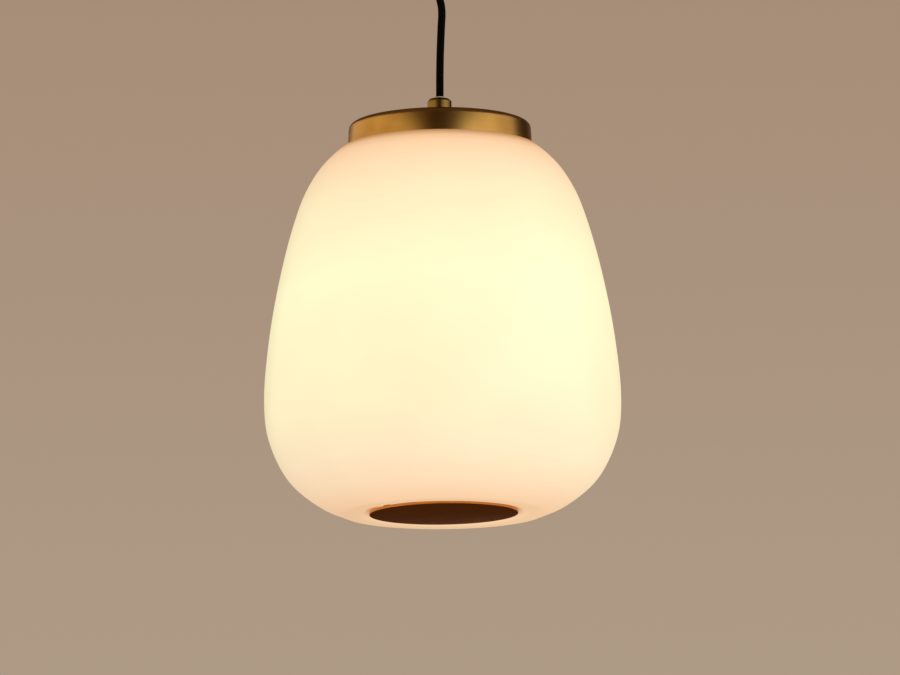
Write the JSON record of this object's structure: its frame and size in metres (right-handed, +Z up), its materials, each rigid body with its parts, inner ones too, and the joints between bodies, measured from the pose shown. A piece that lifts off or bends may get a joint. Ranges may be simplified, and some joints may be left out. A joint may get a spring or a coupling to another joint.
{
  "type": "pendant ceiling light",
  "caption": "Pendant light: tapered opal glass shade under a shallow brass cap, on a black cord from a ceiling canopy, closed below by a removable metal disc.",
  "frame": {"origin": "centre of the ceiling bracket's top face, in the ceiling plane", "axes": "+Z up into the ceiling, the lamp hangs along -Z; +X runs along the bracket, past the terminal block"},
  "size_m": [0.28, 0.28, 0.469],
  "materials": {
    "aged_brass": "satin, lacquered and darkened with age",
    "shaded_brass": "satin, dark patina",
    "bright_brass": "as turned",
    "opal_glass": "satin opal, mouth blown",
    "frosted_bulb_glass": "inside frosted",
    "clear_glass": "clear",
    "black_cord_jacket": "smooth matt",
    "black_phenolic": "moulded",
    "white_ceramic": "glazed",
    "natural_nylon": "moulded",
    "zinc_plated_steel": "zinc plated",
    "white_rubber": "moulded",
    "brown_core": "extruded",
    "blue_core": "extruded",
    "green_yellow_core": "extruded",
    "spring_bronze": "rolled strip",
    "tungsten": "drawn"
  },
  "bodies": {
    "ceiling": {"ceiling_bracket": "zinc_plated_steel", "bracket_earth_screw": "bright_brass", "terminal_block": "white_ceramic", "terminal_screw_1": "bright_brass", "terminal_screw_2": "bright_brass", "terminal_screw_3": "bright_brass", "terminal_screw_4": "bright_brass", "terminal_screw_5": "bright_brass", "terminal_screw_6": "bright_brass", "ceiling_canopy": "aged_brass", "canopy_screw_1": "aged_brass", "canopy_screw_2": "aged_brass", "canopy_grip": "aged_brass", "canopy_grip_nut": "zinc_plated_steel", "canopy_grip_screw": "zinc_plated_steel", "cord_upper_end": "black_cord_jacket", "upper_live_wire": "brown_core", "upper_neutral_wire": "blue_core", "upper_earth_wire": "green_yellow_core"},
    "cord_bend": {"power_cord_bend": "black_cord_jacket"},
    "cord": {"power_cord": "black_cord_jacket"},
    "lamp": {"cord_grip": "aged_brass", "cord_grip_collet": "natural_nylon", "cord_grip_screw": "zinc_plated_steel", "shade_cap": "aged_brass", "threaded_nipple": "zinc_plated_steel", "cap_washer": "zinc_plated_steel", "cap_nut": "zinc_plated_steel", "glass_gasket": "white_rubber", "retaining_plate": "zinc_plated_steel", "plate_washer": "zinc_plated_steel", "plate_nut": "zinc_plated_steel", "glass_shade": "opal_glass", "holder_cap": "black_phenolic", "holder_body": "black_phenolic", "holder_insert": "white_ceramic", "holder_thread": "bright_brass", "holder_contact": "spring_bronze", "holder_screw_1": "bright_brass", "holder_screw_2": "bright_brass", "cord_lower_end": "black_cord_jacket", "lower_live_wire": "brown_core", "lower_neutral_wire": "blue_core"},
    "bulb_seat": {"bulb_contact": "zinc_plated_steel"},
    "bulb": {"bulb_insulator": "black_phenolic", "bulb_base": "bright_brass", "bulb_globe": "frosted_bulb_glass", "bulb_stem": "clear_glass", "bulb_filament": "tungsten"},
    "disc": {"bottom_disc": "shaded_brass", "disc_clip_1": "spring_bronze", "disc_clip_2": "spring_bronze", "disc_clip_3": "spring_bronze"}
  },
  "joints": [
    {"name": "swing_front_back", "type": "hinge", "parent": "ceiling", "child": "cord_bend", "pos_m": [0, 0, -0.0506], "axis": [1, 0, 0], "range_deg": [-25, 25]},
    {"name": "swing_side", "type": "hinge", "parent": "cord_bend", "child": "cord", "pos_m": [0, 0, -0.0506], "axis": [0, 1, 0], "range_deg": [-25, 25]},
    {"name": "lamp_twist", "type": "hinge", "parent": "cord", "child": "lamp", "pos_m": [0, 0, -0.1368], "axis": [0, 0, 1], "range_deg": [-180, 180]},
    {"name": "disc_pull", "type": "slide", "parent": "lamp", "child": "disc", "axis": [0, 0, -1], "range_m": [0, 0.08]},
    {"name": "bulb_drop", "type": "slide", "parent": "lamp", "child": "bulb_seat", "axis": [0, 0, -1], "range_m": [0, 0.02178]},
    {"name": "bulb_turn", "type": "hinge", "parent": "bulb_seat", "child": "bulb", "pos_m": [0, 0, -0.2384], "axis": [0, 0, -1], "range_deg": [0, 2160]}
  ],
  "couplings": [
    {"joint": "bulb_turn", "follows": "bulb_drop", "rad_per_m": 1730.9}
  ]
}
